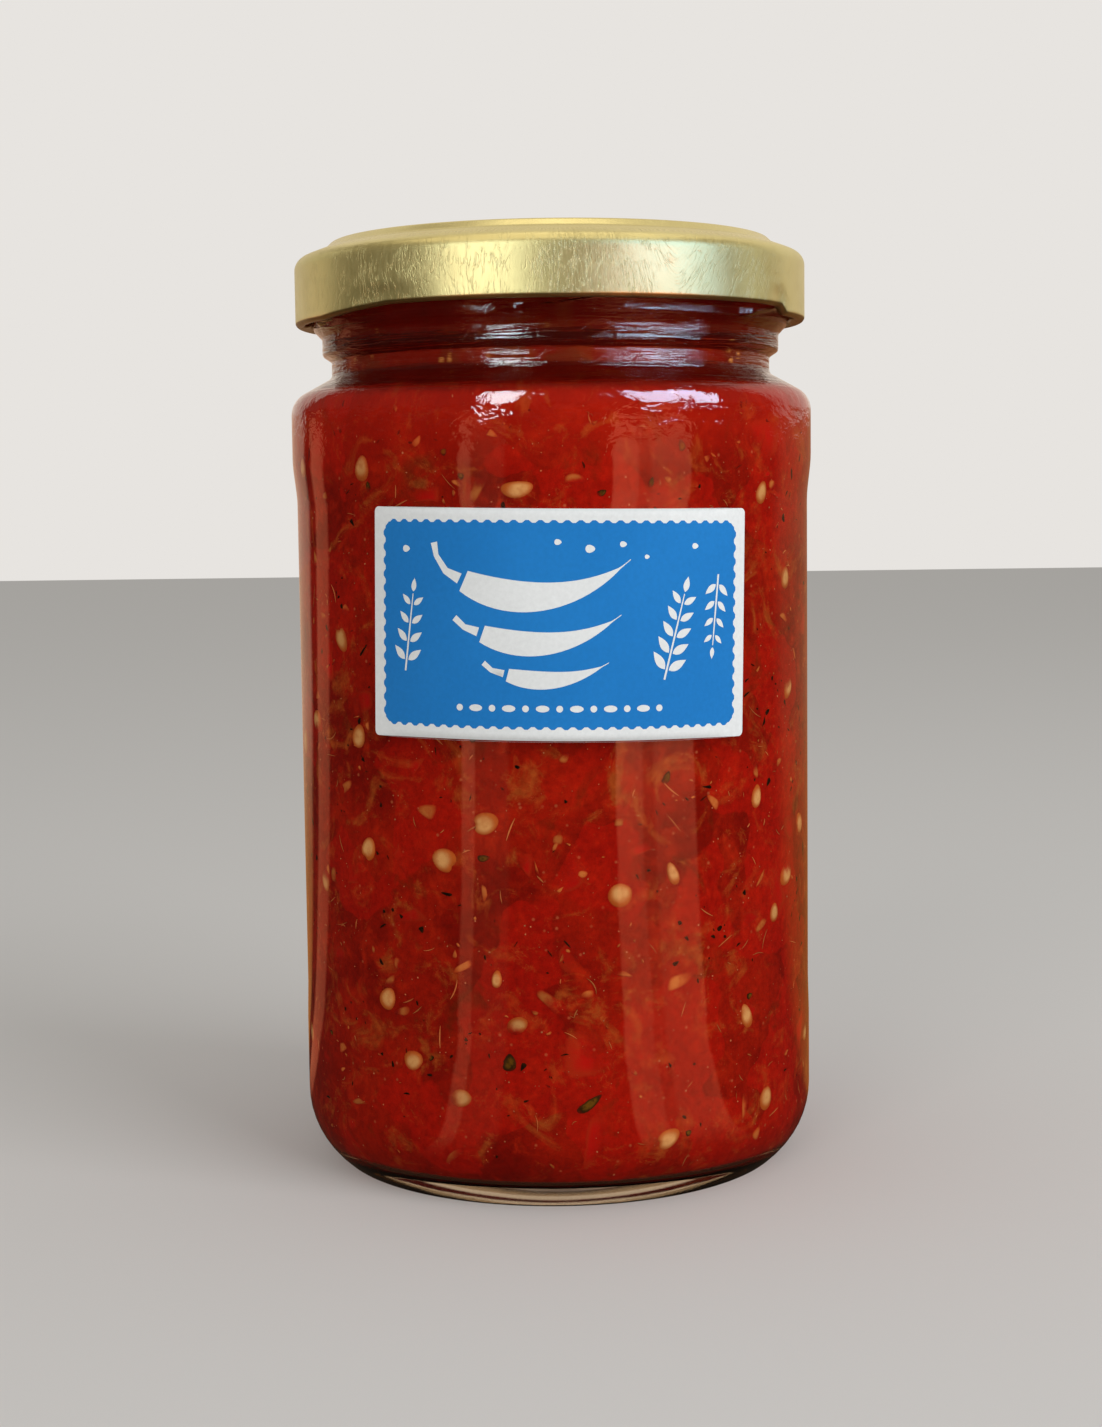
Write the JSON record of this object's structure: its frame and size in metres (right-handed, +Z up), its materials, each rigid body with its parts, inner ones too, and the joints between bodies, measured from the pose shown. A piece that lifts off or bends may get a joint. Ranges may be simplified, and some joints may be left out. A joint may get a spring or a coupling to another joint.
{
  "type": "jar of adjika",
  "caption": "Straight-sided clear glass jar filled with red pepper adjika, with a gold twist-off lid and a small label on the front.",
  "frame": {"origin": "centre of the ring the jar stands on, at the surface under it", "axes": "+Z up the jar's axis; the labelled front faces -Y and +X is to the right of someone who looks at the label"},
  "size_m": [0.087, 0.087, 0.1536],
  "materials": {
    "clear_glass": "polished",
    "adjika": "wet, coarse",
    "gold_lacquer": "satin",
    "label_paper": "matt printed"
  },
  "bodies": {
    "root": {"jar_glass": "clear_glass", "adjika": "adjika", "lid": "gold_lacquer", "label": "label_paper"}
  },
  "joints": []
}
